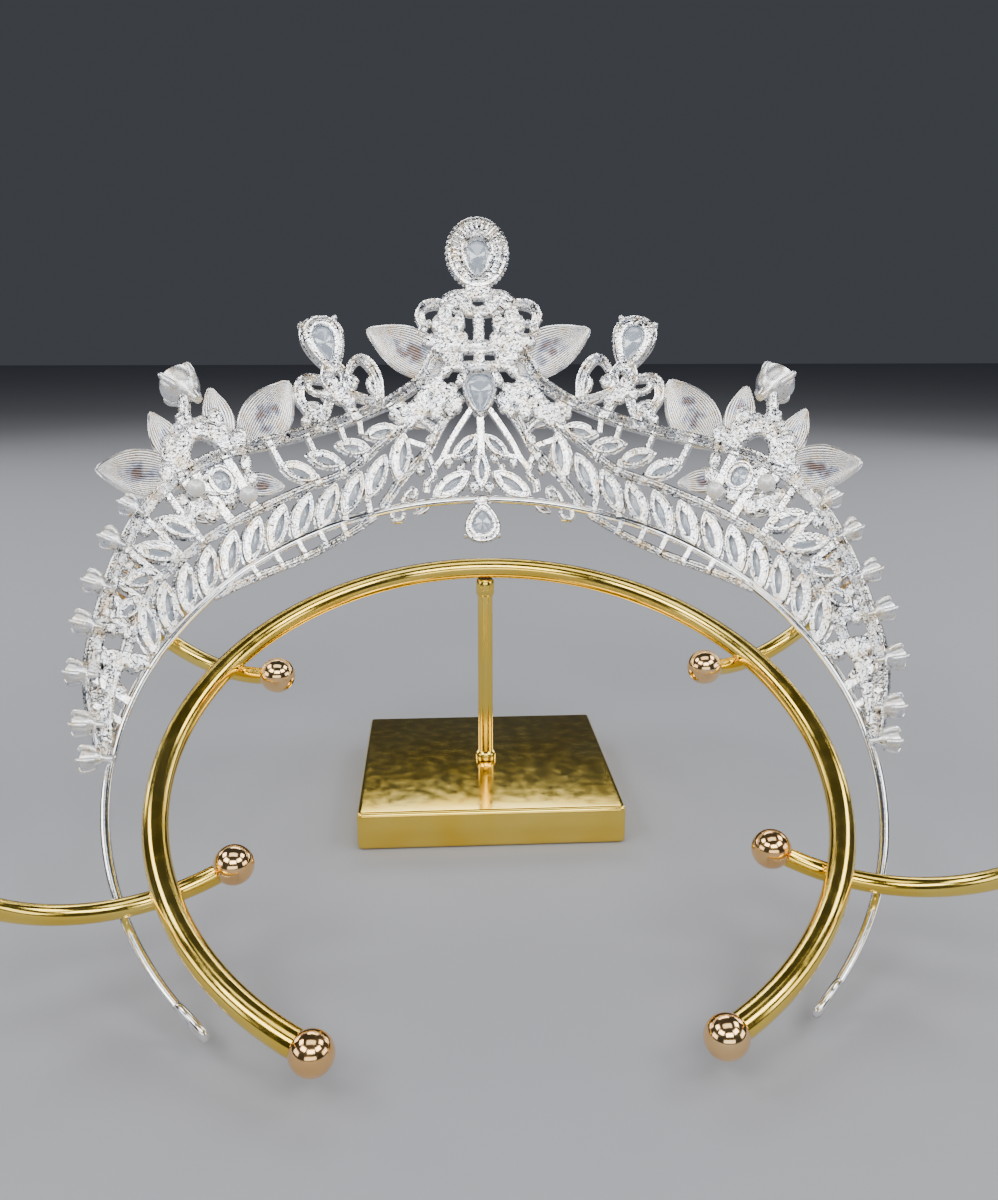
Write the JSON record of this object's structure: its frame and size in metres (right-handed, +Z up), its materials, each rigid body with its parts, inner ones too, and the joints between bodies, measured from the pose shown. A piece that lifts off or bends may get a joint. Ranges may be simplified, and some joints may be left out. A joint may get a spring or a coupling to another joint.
{
  "type": "tiara on display stand",
  "caption": "Openwork bridal tiara with leaves, marquise cups and crystal drops, its wire tails open at the back, lying on a gilt C-shaped ring stand with curved arms and a square base.",
  "frame": {"origin": "middle of the base plate's underside, on the surface that the stand stands on", "axes": "+Z up; +Y the way the tiara's front and its drops face, away from the picture's camera; +X to the right as seen from behind the tiara, along its widest measure"},
  "size_m": [0.1808, 0.1522, 0.1399],
  "materials": {
    "silver_metal": "bright plated casting",
    "crystal": "faceted, clear",
    "pearl": "pearl lustre",
    "gold_metal": "polished gilt",
    "rose_gold_metal": "polished gilt, rosier"
  },
  "bodies": {
    "root": {"tiara_frame": "silver_metal", "top_stone": "crystal", "centre_stone": "crystal", "bottom_stone": "crystal", "centre_marquise": "crystal", "small_marquise_left": "crystal", "wide_marquise_left": "crystal", "oval_stone_left": "crystal", "pear_stone_left": "crystal", "great_stone_left": "crystal", "rail_marquise_left_1": "crystal", "rail_marquise_left_2": "crystal", "rail_marquise_left_3": "crystal", "rail_marquise_left_4": "crystal", "side_stone_left_1": "crystal", "side_stone_left_2": "crystal", "side_stone_left_3": "crystal", "side_stone_left_4": "crystal", "side_stone_left_5": "crystal", "side_stone_left_6": "crystal", "side_stone_left_7": "crystal", "pearl_lower_left": "pearl", "pearl_upper_left": "pearl", "small_marquise_right": "crystal", "wide_marquise_right": "crystal", "oval_stone_right": "crystal", "pear_stone_right": "crystal", "great_stone_right": "crystal", "rail_marquise_right_1": "crystal", "rail_marquise_right_2": "crystal", "rail_marquise_right_3": "crystal", "rail_marquise_right_4": "crystal", "side_stone_right_1": "crystal", "side_stone_right_2": "crystal", "side_stone_right_3": "crystal", "side_stone_right_4": "crystal", "side_stone_right_5": "crystal", "side_stone_right_6": "crystal", "side_stone_right_7": "crystal", "pearl_lower_right": "pearl", "pearl_upper_right": "pearl", "stand_base": "gold_metal", "stand_post": "gold_metal", "stand_ring": "gold_metal", "ball_ring_left": "rose_gold_metal", "ball_inner_upper_left": "rose_gold_metal", "ball_inner_lower_left": "rose_gold_metal", "ball_outer_upper_left": "rose_gold_metal", "ball_outer_lower_left": "rose_gold_metal", "ball_ring_right": "rose_gold_metal", "ball_inner_upper_right": "rose_gold_metal", "ball_inner_lower_right": "rose_gold_metal", "ball_outer_upper_right": "rose_gold_metal", "ball_outer_lower_right": "rose_gold_metal"}
  },
  "joints": []
}
